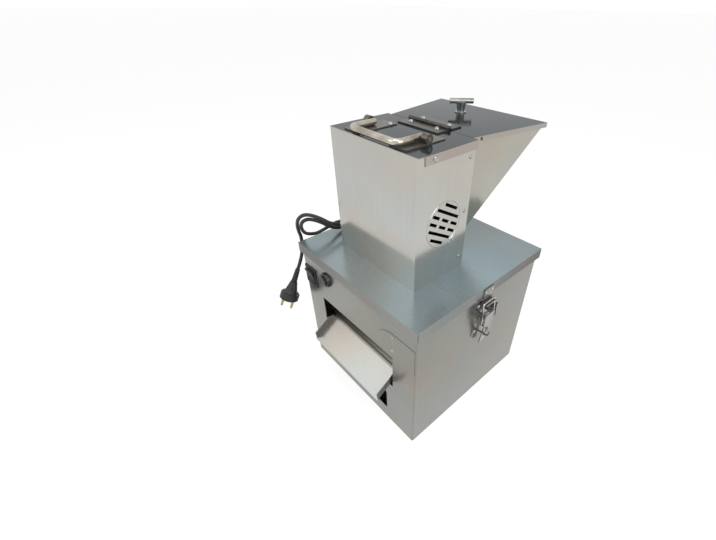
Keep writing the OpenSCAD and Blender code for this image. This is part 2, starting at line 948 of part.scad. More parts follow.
module carry_handle() {
    x = handle_w / 2;
    r = handle_bend;
    pin_end = handle_plate_w / 2 + 1;
    color("dimgray")
        translate([tower_x, pivot_y, handle_z]) {
            translate([-x + r, -handle_reach, 0])
                rotate([0, 90, 0])
                    cylinder(d = handle_d, h = 2 * (x - r));
            for (s = [0, 1])
                mirror([s, 0, 0]) {
                    translate([x - r, -handle_reach + r, 0])
                        rotate([0, 0, -90])
                            rotate_extrude(angle = 90)
                                translate([r, 0])
                                    circle(d = handle_d);
                    translate([x, -handle_reach + r, 0])
                        rotate([-90, 0, 0])
                            cylinder(d = handle_d, h = handle_reach - r);
                    translate([x, 0, 0])
                        sphere(d = handle_d);
                    translate([x, 0, 0])
                        rotate([0, 90, 0])
                            cylinder(d = handle_pin_d, h = pin_end);
                }
        }
}

// ---------- hopper lid's hinge ----------

// Knuckles first, first + 2 and so on of one leaf
module hinge_knuckles(first) {
    w = hinge_len / knuckles;
    for (k = [first:2:knuckles - 1])
        translate([tower_x - hinge_len / 2 + k * w + 0.15, hinge_y, hinge_z])
            rotate([0, 90, 0])
                cylinder(r = knuckle_r, h = w - 0.3);
}

// Strips that join a leaf to its knuckles, on the side given by s
module hinge_strips(first, s) {
    w = hinge_len / knuckles;
    far = hinge_y + s * (knuckle_r + 0.6);
    for (k = [first:2:knuckles - 1]) {
        x = tower_x - hinge_len / 2 + k * w + 0.15;
        box([x, x + w - 0.3], [min(hinge_y, far), max(hinge_y, far)],
            [hinge_z - knuckle_r, cover_top + leaf_t]);
    }
}

module pin_bore() {
    translate([tower_x - hinge_len, hinge_y, hinge_z])
        rotate([0, 90, 0])
            cylinder(r = hinge_pin_r + run, h = 2 * hinge_len);
}

module hinge_front_leaf() {
    color("dimgray") difference() {
        union() {
            box([tower_x - hinge_len / 2, tower_x + hinge_len / 2],
                [hinge_y - 25, hinge_y - knuckle_r - 0.5], [cover_top, cover_top + leaf_t]);
            hinge_knuckles(0);
            hinge_strips(0, -1);
        }
        pin_bore();
        at_front_leaf_screws()
            screw_hole(leaf_t + sheet);
    }
}

module hinge_rear_leaf() {
    color("dimgray") difference() {
        union() {
            box([tower_x - hinge_len / 2, tower_x + hinge_len / 2],
                [hinge_y + knuckle_r + 0.5, hinge_y + 25], [cover_top, cover_top + leaf_t]);
            hinge_knuckles(1);
            hinge_strips(1, 1);
        }
        pin_bore();
        at_rear_leaf_screws()
            screw_hole(leaf_t + sheet);
    }
}

module hinge_pin() {
    color("silver")
        translate([tower_x - hinge_len / 2 - 0.2, hinge_y, hinge_z])
            rotate([0, 90, 0]) {
                cylinder(r = hinge_pin_r, h = hinge_len + 0.4);
                translate([0, 0, -1.2])
                    cylinder(r1 = 1.6, r2 = 2.6, h = 1.2);
                translate([0, 0, hinge_len + 0.4])
                    cylinder(r1 = 2.6, r2 = 1.6, h = 1.2);
            }
}

module lid_screws() {
    color("lightgray") {
        at_rear_leaf_screws()
            screw(leaf_t + hopper_lid_t);
        // knob's screw, from under the lid
        translate([knob_at.x, knob_at.y, cover_top - hopper_lid_t])
            rotate([180, 0, 0]) {
                cylinder(d1 = 2 * screw_d, d2 = 1.4 * screw_d, h = 0.55 * screw_d);
                translate([0, 0, -hopper_lid_t - 8])
                    cylinder(d = screw_d, h = hopper_lid_t + 8);
            }
    }
}

// ---------- hopper ----------

knob_at = [tower_x - 18, back_y + 94.8];
knob_turn = 47;              // of the knob's bar, from the X axis

// All space behind a plane through a point, on the far side of its outward normal
module behind(point, normal) {
    big = 800;
    translate(point)
        rotate([0, -asin(normal.z / norm(normal)), atan2(normal.y, normal.x)])
            translate([-big, -big / 2, -big / 2])
                cube(big);
}

// Solid wedge of the hopper with every wall drawn in by t, from z = low to z = high
module hopper_wedge(t, low, high) {
    y0 = back_y + t;
    side = [1, -hopper_flare, -side_lean];
    rear = [0, 1, -rear_lean];
    intersection() {
        box([tower_x - hopper_len, tower_x + hopper_len],
            [y0, back_y + hopper_len + 20], [low, high]);
        behind([tower_x + hopper_front_w / 2, back_y, wall_top] - t * side / norm(side), side);
        behind([tower_x - hopper_front_w / 2, back_y, wall_top]
            - t * [-side.x, side.y, side.z] / norm(side), [-side.x, side.y, side.z]);
        behind([tower_x, back_y + hopper_len, wall_top] - t * rear / norm(rear), rear);
    }
}

module hopper_shell() {
    color("lightgray") difference() {
        hopper_wedge(0, mouth_z, rim_z);
        hopper_wedge(sheet, mouth_z - 1, rim_z + 1);
    }
}

// Frame between the hopper's mouth and the lid, with a slot for the gate at its back
throat = [mouth_w + 14, mouth_len + 3];     // outer size
throat_in = [feed_w + 12, 24];              // inner size
gate_t = 1.6;
gate_travel = 24;

module feed_throat() {
    color("gainsboro") difference() {
        box([tower_x - throat.x / 2, tower_x + throat.x / 2], [back_y, back_y + throat.y],
            [lid_top, mouth_z]);
        box([tower_x - throat_in.x / 2, tower_x + throat_in.x / 2],
            [back_y + 2.5, back_y + 2.5 + throat_in.y], [lid_top - 1, mouth_z + 1]);
        box([tower_x - throat_in.x / 2, tower_x + throat_in.x / 2],
            [back_y + 10, back_y + throat.y + 1], [lid_top - 1, lid_top + gate_t + 1]);
    }
}

// Flat slide that shuts the feed, pulled to the rear by its upturned end
module feed_gate() {
    x = throat_in.x / 2 - 1;
    y1 = back_y + throat.y + 4;
    color("gainsboro") {
        box([tower_x - x, tower_x + x], [back_y + 3, y1 + 2],
            [lid_top + 0.4, lid_top + 0.4 + gate_t]);
        box([tower_x - x, tower_x + x], [y1, y1 + 2], [lid_top + 0.4, lid_top + 14]);
    }
}

function hopper_half(y, more) = hopper_front_w / 2 + hopper_flare * (y - back_y) + more;

module lid_plan(y0, y1, more) {
    polygon([[tower_x - hopper_half(y0, more), y0], [tower_x + hopper_half(y0, more), y0],
             [tower_x + hopper_half(y1, more), y1], [tower_x - hopper_half(y1, more), y1]]);
}

module hopper_lid() {
    over = soft + sheet;
    skirt_y = lid_front_y + 16;
    color("slategray") difference() {
        union() {
            along_z(wall_top, cover_top)
                lid_plan(lid_front_y, hopper_lid_end, over);
            along_z(wall_top - hopper_skirt, wall_top + e)
                difference() {
                    lid_plan(skirt_y, hopper_lid_end, over);
                    lid_plan(skirt_y - 1, hopper_lid_end - sheet, soft);
                }
        }
        at_rear_leaf_screws()
            screw_hole(leaf_t + hopper_lid_t);
        translate([knob_at.x, knob_at.y, wall_top - 1])
            cylinder(d = screw_d + hole_play, h = 4);
    }
}

module lid_knob() {
    neck_h = 16;
    bar_d = 8;
    color("silver")
        translate([knob_at.x, knob_at.y, cover_top])
            difference() {
                union() {
                    cylinder(d1 = 11, d2 = 16, h = neck_h);
                    cylinder(d = 18, h = 1.6);
                    translate([0, 0, neck_h + 1])
                        rotate([0, 90, knob_turn])
                            translate([0, 0, -knob_bar / 2])
                                cylinder(d = bar_d, h = knob_bar);
                }
                translate([0, 0, -1])
                    cylinder(d = screw_d, h = 9);
            }
}

// ---------- latches, drawn for the right side ----------

module latch_base() {
    color("lightgray") difference() {
        union() {
            box([case_x, case_x + latch_t], [latch_y - 22, latch_y + 22],
                [pivot_z - 46, pivot_z + 22]);
            for (y = [-cheek_y - 2, cheek_y])
                box([case_x + latch_t - e, case_x + pivot_out + 6], [latch_y + y, latch_y + y + 2],
                    [pivot_z - 13, pivot_z + 12]);
            // staple that takes a padlock
            for (z = [-staple_r, staple_r])
                facing_right(case_x + latch_t - e, latch_y, staple_z + z)
                    cylinder(d = wire_d, h = 10.5 + 2 * e, $fn = 24);
            translate([case_x + latch_t + 10.5, latch_y, staple_z])
                rotate([90, 0, 0])
                    rotate([0, 0, -90])
                        rotate_extrude(angle = 180)
                            translate([staple_r, 0])
                                circle(d = wire_d, $fn = 24);
        }
        translate([case_x + pivot_out, latch_y - 30, pivot_z])
            rotate([-90, 0, 0])
                cylinder(r = pin_r, h = 60);
        at_latch_screws()
            screw_hole(latch_t + sheet);
    }
}

module latch_bases() {
    both_sides()
        latch_base();
}

module latch_pins() {
    color("silver")
        both_sides()
            translate([case_x + pivot_out, latch_y, pivot_z])
                rotate([-90, 0, 0]) {
                    translate([0, 0, -cheek_y - 2])
                        cylinder(r = pin_r, h = 2 * cheek_y + 4);
                    for (z = [-cheek_y - 3.2, cheek_y + 2])
                        translate([0, 0, z])
                            cylinder(r = pin_r + 1.2, h = 1.2);
                }
}

lever_face = pivot_out + bail_at.x + 2;      // inner face of the lever's upper part
lever_top = pivot_z + 4;
lever_bend = pivot_z - 22;
lever_tip = pivot_z - 68;
lever_tip_out = 6;

// Side outline of the lever's plate, bent inwards towards its tip
module lever_plate_outline() {
    polygon([[case_x + lever_face, lever_top], [case_x + lever_face, lever_bend],
             [case_x + lever_tip_out, lever_tip], [case_x + lever_tip_out + latch_t, lever_tip],
             [case_x + lever_face + latch_t, lever_bend], [case_x + lever_face + latch_t, lever_top]]);
}

module lever_front_outline() {
    polygon([[-lever_w / 2, lever_top + 1], [-lever_w / 2, lever_bend], [-5, lever_tip],
             [5, lever_tip], [lever_w / 2, lever_bend], [lever_w / 2, lever_top + 1]]);
}

module lever_arm_outline() {
    p = [case_x + pivot_out, pivot_z];
    translate(p)
        circle(5);
    translate(p + bail_at)
        circle(4);
    polygon([p + [-3, -3.6], p + [3, 4], [case_x + lever_face + e, lever_top],
             [case_x + lever_face + e, lever_bend + 3], p + bail_at + [0, -4],
             p + bail_at + [-2.5, -3]]);
}

module latch_lever() {
    slot = staple_r + wire_d / 2 + 1.5;
    color("silver") translate([0, latch_y, 0]) difference() {
        union() {
            intersection() {
                along_y(-lever_w / 2, lever_w / 2)
                    lever_plate_outline();
                along_x(case_x, case_x + 30)
                    lever_front_outline();
            }
            for (y = [-lever_w / 2, lever_w / 2 - latch_t])
                along_y(y, y + latch_t)
                    lever_arm_outline();
        }
        for (p = [[pivot_out, 0, pin_r], [pivot_out + bail_at.x, bail_at.y, wire_d / 2]])
            translate([case_x + p[0], -lever_w, pivot_z + p[1]])
                rotate([-90, 0, 0])
                    cylinder(r = p[2] + run, h = 2 * lever_w);
        box([case_x, case_x + 30], [-3.5, 3.5], [staple_z - slot, staple_z + slot]);
    }
}

module latch_lever_right() { latch_lever(); }
module latch_lever_left() { mirror([1, 0, 0]) latch_lever(); }

// Wire bail: a bar across, two legs, and two ends turned into the lever's arms
module latch_bail() {
    foot = [case_x + pivot_out + bail_at.x, 0, pivot_z + bail_at.y];
    head = [case_x + hook_out, 0, hook_z];
    inner = lever_w / 2 - latch_t - 1;
    up = unit(head - foot);
    y = [0, 1, 0];
    route = [
        foot - inner * y,
        each bend(foot - bail_y * y, y, up, wire_d),
        each bend(head - bail_y * y, -up, y, wire_d),
        each bend(head + bail_y * y, -y, -up, wire_d),
        each bend(foot + bail_y * y, up, -y, wire_d),
        foot + inner * y];
    color("silver")
        translate([0, latch_y, 0])
            tube(route, wire_d, wire_sides);
}
module latch_bail_right() { latch_bail(); }
module latch_bail_left() { mirror([1, 0, 0]) latch_bail(); }

// Plate on the lid's skirt with a hook that the bail's bar sits in
module latch_keeper() {
    x = lid_w / 2;
    r = wire_d / 2;
    bar_x = case_x + hook_out;
    low = hook_z - r - 0.3 - latch_t;
    lip = bar_x + r + hook_gap;
    color("lightgray") difference() {
        union() {
            box([x, x + latch_t], [latch_y - 12, latch_y + 12], [low, skirt_low + 14]);
            box([x, lip + latch_t], [latch_y - 12, latch_y + 12], [low, low + latch_t]);
            box([lip, lip + latch_t], [latch_y - 12, latch_y + 12], [low, hook_z - 0.2]);
        }
        at_keeper_rivets()
            rivet_hole(latch_t + sheet);
    }
}

module latch_keepers() {
    both_sides()
        latch_keeper();
}

// ---------- motor ----------

module motor_flange() {
    color("gray") difference() {
        on_axis(lid_top)
            box([-mount_w / 2, mount_w / 2], [-mount_w / 2, mount_w / 2], [0, mount_t]);
        on_axis(lid_top - 1)
            cylinder(d = shaft_d + 4, h = mount_t + 2);
        on_axis(can_low - lower_bearing[1])
            cylinder(d = lower_bearing[0], h = mount_t);
        at_bolts()
            bolt_hole();
    }
}

module motor_can() {
    color("dimgray")
        on_axis(can_low)
            ring(can_d, can_d - 2 * can_wall, can_h);
}

module motor_cap() {
    color("gray")
        on_axis(can_high)
            difference() {
                union() {
                    cylinder(d = can_d, h = cap_t);
                    cylinder(d = 40, h = cap_t + cap_boss_h);
                }
                translate([0, 0, -1])
                    cylinder(d = upper_bearing[0], h = cap_t + cap_boss_h);
                cylinder(d = shaft_end_d + 4, h = cap_t + cap_boss_h + 1);
                for (a = [45:90:315])
                    rotate(a)
                        translate([can_d / 2 - 14, 0, -1])
                            cylinder(d = 12, h = cap_t + 2);
            }
}

module motor_bolts() {
    grip = mount_t + sheet + plate_t;
    color("silver")
        at_bolts() {
            cylinder(d = 1.7 * bolt_d, h = 0.65 * bolt_d, $fn = 6);
            translate([0, 0, -grip - 0.9 * bolt_d])
                cylinder(d = bolt_d, h = grip + 0.9 * bolt_d + e);
            translate([0, 0, -grip - 0.8 * bolt_d])
                cylinder(d = 1.7 * bolt_d, h = 0.8 * bolt_d, $fn = 6);
        }
}

module stator_core() {
    color("darkslategray")
        on_axis(core[0])
            ring(can_d - 2 * can_wall, armature_d + 2 * air_gap, core[1] - core[0]);
}

module stator_windings() {
    color("peru")
        for (z = [core[0] - coil_h, core[1]])
            on_axis(z)
                ring(can_d - 2 * can_wall - 4, armature_d + 2 * air_gap + 4, coil_h);
}

module armature() {
    color("darkslategray")
        on_axis(core[0])
            ring(armature_d, shaft_d, core[1] - core[0]);
}

module armature_windings() {
    color("peru") {
        for (z = [core[0] - 8, core[1]])
            on_axis(z)
                ring(armature_d - 6, shaft_d, 8);
        on_axis(commutator[0])
            ring(commutator_d, shaft_d, commutator[1] - commutator[0]);
    }
}

module rotor_shaft() {
    end_z = lower_blade - nut_h - 7;
    color("silver") {
        on_axis(end_z)
            cylinder(d = shaft_end_d, h = lower_blade - end_z + e);
        on_axis(lower_blade)
            cylinder(d = shaft_d, h = can_high + cap_t + cap_boss_h - upper_bearing[1] - 2
                - lower_blade);
        on_axis(can_high)
            cylinder(d = shaft_end_d, h = shaft_top - can_high);
    }
}

module bearings() {
    color("silver") {
        on_axis(can_low - lower_bearing[1])
            ring(lower_bearing[0], shaft_d + 2 * run, lower_bearing[1]);
        on_axis(cap_top - 1 - upper_bearing[1])
            ring(upper_bearing[0], shaft_end_d + 2 * run, upper_bearing[1]);
    }
}

module cooling_fan() {
    color("gray")
        on_axis(fan_low)
            difference() {
                union() {
                    cylinder(d = 20, h = fan_h);
                    cylinder(d = fan_d, h = 2);
                    for (a = [0:45:315])
                        rotate(a)
                            box([8, fan_d / 2], [-1, 1], [1, fan_h]);
                }
                translate([0, 0, -1])
                    cylinder(d = shaft_end_d, h = fan_h + 2);
            }
}

// Two brush holders on the can's wall, each with its carbon on the commutator
module brush_gear() {
    inner = can_d / 2 - can_wall;
    color("dimgray")
        on_axis((commutator[0] + commutator[1]) / 2)
            for (s = [0, 180])
                rotate(s)
                    intersection() {
                        union() {
                            box([commutator_d / 2 + 3, inner + 2], [-6, 6], [-5.5, 5.5]);
                            box([commutator_d / 2 + soft, inner], [-3, 3], [-4, 4]);
                        }
                        translate([0, 0, -20])
                            cylinder(r = inner, h = 40);
                    }
}

// ---------- grinding chamber ----------

module at_studs() {
    for (a = [90, 210, 330])
        on_axis(0)
            rotate(a)
                translate([stud_r, 0, 0])
                    children();
}

module chamber_plate() {
    color("gray") difference() {
        on_axis(plate_low)
            cylinder(r = plate_r, h = plate_t, $fn = 96);
        on_axis(plate_low - 1)
            cylinder(d = seal_d, h = plate_t + 2);
        feed_hole();
        lead_passage();
        at_bolts()
            bolt_hole();
        at_foot_screws()
            screw_hole(2 * sheet + plate_t);
    }
}

module shaft_seal() {
    color("black")
        on_axis(plate_low)
            ring(seal_d, shaft_d + 2 * run, plate_t + sheet);
}

module sieve_ring() {
    color("silver")
        on_axis(sieve_low)
            difference() {
                ring(sieve_d, sieve_d - 2 * sieve_wall, sieve_h, $fn = 96);
                for (row = [-1:1], k = [0:23])
                    rotate(k * 15 + row * 7.5)
                        translate([sieve_d / 2 - 4, 0, sieve_h / 2 + row * 12])
                            rotate([0, 90, 0])
                                cylinder(d = sieve_hole, h = 6, $fn = 24);
            }
}

module chamber_floor() {
    color("silver") difference() {
        on_axis(sieve_low - floor_t)
            cylinder(r = plate_r - 1, h = floor_t, $fn = 96);
        at_studs()
            translate([0, 0, sieve_low - floor_t - 1])
                cylinder(d = stud_d + hole_play, h = floor_t + 2);
    }
}

// Three studs with wing nuts hold the chamber together
module chamber_studs() {
    low = sieve_low - floor_t;
    color("silver")
        at_studs() {
            translate([0, 0, low - 12.5])
                cylinder(d = stud_d, h = plate_low - low + 12.5);
            translate([0, 0, low - 7])
                cylinder(d = 2 * stud_d, h = 7);
            rotate(90)
                box([-13, 13], [-1.5, 1.5], [low - 11, low - 1]);
        }
}

// Two crossed blades and the spacer between them
module grinding_blades() {
    bore = shaft_d;
    color("silver") {
        on_axis(upper_blade)
            blade(bore);
        on_axis(lower_blade)
            rotate(90)
                blade(bore);
        on_axis(lower_blade + blade_t)
            ring(spacer_d, bore, upper_blade - lower_blade - blade_t);
        // collar that carries the stack under the seal
        on_axis(upper_blade + blade_t)
            ring(spacer_d - 4, bore, plate_low - upper_blade - blade_t - 1);
    }
}

module blade(bore) {
    bevel = blade_w / 4;
    difference() {
        along_x(-blade_len / 2, blade_len / 2)
            polygon([[-blade_w / 2, 0], [blade_w / 2, 0], [blade_w / 2, 0.6],
                     [blade_w / 2 - bevel, blade_t], [-blade_w / 2 + bevel, blade_t],
                     [-blade_w / 2, 0.6]]);
        translate([0, 0, -1])
            cylinder(d = bore, h = blade_t + 2);
    }
}

module rotor_nut() {
    color("silver")
        on_axis(lower_blade - nut_h)
            difference() {
                union() {
                    cylinder(d = 18, h = nut_h - 1.5, $fn = 6);
                    translate([0, 0, nut_h - 1.6])
                        cylinder(d = 26, h = 1.6);
                }
                translate([0, 0, -1])
                    cylinder(d = shaft_end_d, h = nut_h + 2);
            }
}

// ---------- wiring ----------

gland_thread = 12;
gland_nut = 20;
block = [left_x + 8, tower_y + 6.3];
block_w = 12;
block_h = 9;
lead_d = 5;
lead_sides = 8;
lead_step = 6;

module terminal_block() {
    color("white")
        translate([block.x, block.y, lid_top + sheet])
            box([-block_w / 2, block_w / 2], [0, 26], [0, block_h]);
}

// Leads from the gland to the terminal block, on to the motor, and down to the switch
module inner_leads() {
    block_top = lid_top + sheet + block_h;
    mid = block_top - lead_d / 2 - 0.2;
    inside = left_x + sheet + 8;
    side = [block.x + block_w / 2, block.y + 3, mid - 1];
    can_side = [tower_x - can_d / 2, tower_y, can_low + 16];
    routes = [
        [[inside, gland_y, gland_z], [inside + 6, gland_y, gland_z],
         [inside + 8, gland_y - 8, gland_z - 1], [block.x, block.y + 6, gland_z - 3],
         [block.x, block.y + 6, block_top]],
        [side, side + [6, 0, 0], can_side + [-16, 0, -10], can_side + [-8, 0, 0], can_side],
        [[block.x, block.y, mid], [block.x, block.y - 7, mid],
         [lead_hole.x, lead_hole.y + 8, mid], [lead_hole.x, lead_hole.y, lid_top - 1],
         [lead_hole.x, lead_hole.y, plate_low - 15],
         [lead_hole.x - 18, lead_hole.y - 12, plate_low - 22],
         [switch_x, -case_y + 38, switch_z + 16], [switch_x, -case_y + 37, switch_z + 6],
         [switch_x, -case_y + 30, switch_z], [switch_x, -case_y + 22, switch_z]]];
    color("dimgray")
        for (route = routes)
            tube(smooth(route, lead_step), lead_d, lead_sides);
}

module cord_gland() {
    color("black")
        facing_left(left_x, gland_y, gland_z) {
            cylinder(d = gland_nut, h = 4);
            translate([0, 0, 4 - e])
                cylinder(d1 = 14, d2 = cord_d + 2, h = gland_len - 4 + e);
            translate([0, 0, -sheet - 8])
                cylinder(d = gland_thread, h = sheet + 8 + e);
            translate([0, 0, -sheet - 4])
                cylinder(d = gland_nut - 2, h = 4, $fn = 6);
        }
}

module power_cord() {
    color("black")
        tube(smooth(cord_route, cord_step), cord_d, cord_sides);
}

relief_len = 27;
grip_len = 24;
face_len = 14;
face_d = 36;
pin_gap = 19;

// The plug hangs along the cord's last stretch
module on_plug() {
    translate(cord_end)
        rotate([-plug_tilt, 0, 0])
            rotate([0, 0, 45])
                children();
}

module plug_body() {
    color("black")
        on_plug() {
            translate([0, 0, -relief_len])
                cylinder(d1 = 11, d2 = cord_d + 2, h = relief_len);
            translate([0, 0, -relief_len - grip_len])
                cylinder(d1 = 27, d2 = 13, h = grip_len + e);
            translate([0, 0, -relief_len - grip_len - face_len])
                cylinder(d = face_d, h = face_len + e);
        }
}

module plug_pins() {
    color("silver")
        on_plug()
            for (x = [-pin_gap / 2, pin_gap / 2])
                translate([x, 0, -relief_len - grip_len - face_len - 19])
                    cylinder(d = 4.8, h = 19);
}

case_body();
case_floor();
slide_plate();
outlet_chute();
corner_plate();
case_screws();
rivets();
switch_frame();
switch_rocker();
breaker_body();
reset_button();
base_lid();
tower_wrap();
tower_back();
tower_cover();
tower_screws();
handle_plates();
carry_handle();
hinge_front_leaf();
hinge_rear_leaf();
hinge_pin();
lid_screws();
hopper_shell();
feed_throat();
feed_gate();
hopper_lid();
lid_knob();
latch_bases();
latch_pins();
latch_lever_right();
latch_lever_left();
latch_bail_right();
latch_bail_left();
latch_keepers();
motor_flange();
motor_can();
motor_cap();
motor_bolts();
stator_core();
stator_windings();
armature();
armature_windings();
rotor_shaft();
bearings();
cooling_fan();
brush_gear();
chamber_plate();
shaft_seal();
sieve_ring();
chamber_floor();
chamber_studs();
grinding_blades();
rotor_nut();
terminal_block();
inner_leads();
cord_gland();
power_cord();
plug_body();
plug_pins();
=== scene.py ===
# Electric grain mill: the looks of its pieces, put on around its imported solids.
# Units are metres. +X is the side with the visible latch, -Y the front with the flour outlet,
# +Z is up, and the table is at z = 0.
import math

import bmesh
import bpy
from mathutils import Matrix, Vector


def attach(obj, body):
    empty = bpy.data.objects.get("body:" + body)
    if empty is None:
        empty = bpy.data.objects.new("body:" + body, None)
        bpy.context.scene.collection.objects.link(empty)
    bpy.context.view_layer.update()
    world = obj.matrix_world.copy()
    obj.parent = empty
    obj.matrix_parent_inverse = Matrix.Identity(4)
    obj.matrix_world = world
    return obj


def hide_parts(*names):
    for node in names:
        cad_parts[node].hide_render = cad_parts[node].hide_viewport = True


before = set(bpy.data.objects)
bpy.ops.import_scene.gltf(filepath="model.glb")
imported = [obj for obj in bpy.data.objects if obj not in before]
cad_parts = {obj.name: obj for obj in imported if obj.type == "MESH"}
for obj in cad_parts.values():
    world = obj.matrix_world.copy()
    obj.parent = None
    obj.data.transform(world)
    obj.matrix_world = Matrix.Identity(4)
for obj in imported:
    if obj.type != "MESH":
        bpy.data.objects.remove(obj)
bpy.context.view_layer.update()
bpy.context.scene.view_settings.view_transform = "Standard"


# ---- Camera ----
# A wide lens close to the object, above its right front corner, looking down at the lid.

eye = Vector((0.3750, -0.3890, 0.6180))
forward = Vector((-0.58490, 0.54491, -0.60081)).normalized()
right = Vector((0.67699, 0.73595, 0.00841)).normalized()
up = right.cross(forward)
camera_data = bpy.data.cameras.new("camera")
camera_data.lens = 18.355
camera_data.sensor_width = 36
camera_data.shift_x = -0.0616
camera_data.shift_y = 0.0032
camera_data.clip_start = 0.01
camera = bpy.data.objects.new("camera", camera_data)
turn = Matrix((right, up, -forward)).transposed().to_4x4()
camera.matrix_world = Matrix.Translation(eye) @ turn
bpy.context.scene.collection.objects.link(camera)
bpy.context.scene.camera = camera


# ---- Power cord ----
# A three-core rubber lead. It leaves the gland on the tower's left side, lies on the lid's left
# strip, rises in one hump round the front corner, runs back to a loop that hangs behind the case,
# and comes forward again over the hump to the plug.

MM = 0.001


def tone(r, g, b):
    """A colour as a screen shows it, from 0 to 255, in the linear values that shaders take"""
    return tuple((c / 255 / 12.92 if c < 10.3 else ((c / 255 + 0.055) / 1.055) ** 2.4)
                 for c in (r, g, b)) + (1.0,)


class Value:
    """A shader socket that can stand in sums, which add their Math nodes"""

    def __init__(self, finish, socket):
        self.finish = finish
        self.socket = socket

    def sum(self, operation, first, second):
        return self.finish.node("ShaderNodeMath", {"operation": operation},
                                {0: first, 1: second})

    def __add__(self, other):
        return self.sum("ADD", self, other)

    def __sub__(self, other):
        return self.sum("SUBTRACT", self, other)

    def __rsub__(self, other):
        return self.sum("SUBTRACT", other, self)

    def __mul__(self, other):
        return self.sum("MULTIPLY", self, other)

    def __gt__(self, other):
        return self.sum("GREATER_THAN", self, other)

    __radd__ = __add__
    __rmul__ = __mul__


class Graph:
    """The nodes of a material or of the world"""

    def __init__(self, tree):
        self.tree = tree

    def feed(self, node, sockets):
        for key, value in sockets.items():
            if isinstance(value, Value):
                self.tree.links.new(value.socket, node.inputs[key])
            else:
                node.inputs[key].default_value = value

    def node(self, kind, settings=None, sockets=None, output=0):
        made = self.tree.nodes.new(kind)
        for key, value in (settings or {}).items():
            setattr(made, key, value)
        self.feed(made, sockets or {})
        return Value(self, made.outputs[output])


class Finish(Graph):
    """A material: its Principled shader and the nodes that feed it"""

    def __init__(self, name, **sockets):
        self.material = bpy.data.materials.new(name)
        self.material.use_nodes = True
        super().__init__(self.material.node_tree)
        self.shader = self.tree.nodes["Principled BSDF"]
        self.surface({key.replace("_", " "): value for key, value in sockets.items()})

    def surface(self, sockets):
        self.feed(self.shader, sockets)

    def place(self, stretch=(1, 1, 1)):
        at = self.node("ShaderNodeTexCoord", output="Object")
        return self.node("ShaderNodeMapping", {}, {"Vector": at, "Scale": stretch})

    def noise(self, scale, stretch=(1, 1, 1), detail=2.0, contrast=1.6):
        """Noise around 0.5, spread by contrast and kept from 0 to 1"""
        grain = self.node("ShaderNodeTexNoise", {},
                          {"Vector": self.place(stretch), "Scale": scale, "Detail": detail})
        return self.node("ShaderNodeMath", {"operation": "MULTIPLY_ADD", "use_clamp": True},
                         {0: grain, 1: contrast, 2: 0.5 - contrast / 2})

    def mix(self, factor, first, second, blend="MIX"):
        """Two colours mixed. On this node sockets 6 and 7 take colours, and 2 gives the result."""
        return self.node("ShaderNodeMix", {"data_type": "RGBA", "blend_type": blend},
                         {0: factor, 6: first, 7: second}, 2)

    def bump(self, height, distance, strength=0.5):
        return self.node("ShaderNodeBump", {},
                         {"Height": height, "Distance": distance, "Strength": strength})


def moulded(name, color, worn, roughness=0.5, grain=1800, depth=0.00006):
    """Rubber or moulded plastic: a fine pebbled skin with a few paler rubs"""
    finish = Finish(name)
    rubs = finish.noise(60, detail=4.0, contrast=2.4)
    skin = finish.noise(grain)
    finish.surface({
        "Base Color": finish.mix(rubs * 0.5, color, worn),
        "Roughness": roughness + (rubs - 0.5) * 0.14,
        "Normal": finish.bump(skin, depth)})
    return finish.material


def smooth(points, step):
    """Points on a curve through the given ones, at most about a step apart"""
    path = []
    last = len(points) - 1
    for i in range(last):
        a, b, c, d = (points[max(i - 1, 0)], points[i], points[i + 1],
                      points[min(i + 2, last)])
        count = max(1, round((c - b).length / step))
        for k in range(count):
            t = k / count
            path.append(0.5 * (2 * b + (c - a) * t + (2 * a - 5 * b + 4 * c - d) * t ** 2
                               + (3 * b - 3 * c + d - a) * t ** 3))
    return path + [points[last]]


cord_d = 6.5 * MM
cord_start = Vector((-114, -16, 292)) * MM
cord_end = Vector((-175, -151, 199)) * MM
over_the_strip = [
    (-124, -16, 292), (-134, -21, 290), (-140, -34, 285), (-140, -50, 280), (-136, -65, 278)]
first_hump = [
    (-133, -79, 281), (-133, -94, 289), (-138, -105, 298), (-144, -116, 305),
    (-151, -125, 307), (-159, -131, 302), (-167, -132, 292), (-173, -129, 279),
    (-178, -121, 266), (-180, -110, 259), (-178, -98, 257), (-174, -86, 261),
    (-166, -75, 269), (-158, -64, 276), (-150, -50, 278)]
to_the_back = [
    (-146, -32, 275.6), (-146, 10, 275.5), (-146, 60, 275.5), (-144, 104, 275.6),
    (-141, 130, 276), (-139, 146, 278.5)]
back_loop = [
    (-138, 158, 275.5), (-137, 165, 263), (-137, 166, 244), (-136, 166, 215),
    (-134, 166, 165), (-125, 166, 137), (-102, 166, 125), (-79, 166, 137), (-70, 166, 165),
    (-70, 166, 215), (-70, 166, 244), (-70, 165, 263), (-71, 158, 275.5)]
to_the_front = [
    (-72, 146, 278.5), (-75, 130, 276), (-84, 100, 275.6), (-99, 60, 275.5), (-107, 20, 275.5),
    (-110, -15, 275.5), (-112, -40, 277)]
second_hump = [
    (-116, -62, 283), (-121, -80, 292), (-126, -97, 300), (-134, -111, 311),
    (-145, -123, 317), (-156, -131, 315), (-168, -135, 304), (-178, -134, 289),
    (-184, -131, 272), (-185, -128, 257)]
to_the_plug = [(-183, -130, 241), (-178, -136, 226), (-175, -144, 212)]
stretches = (over_the_strip, first_hump, to_the_back, back_loop, to_the_front, second_hump,
             to_the_plug)
route = [cord_start]
for stretch in stretches:
    route += [Vector(point) * MM for point in stretch]
route.append(cord_end)
cord_path = smooth(route, 4 * MM)

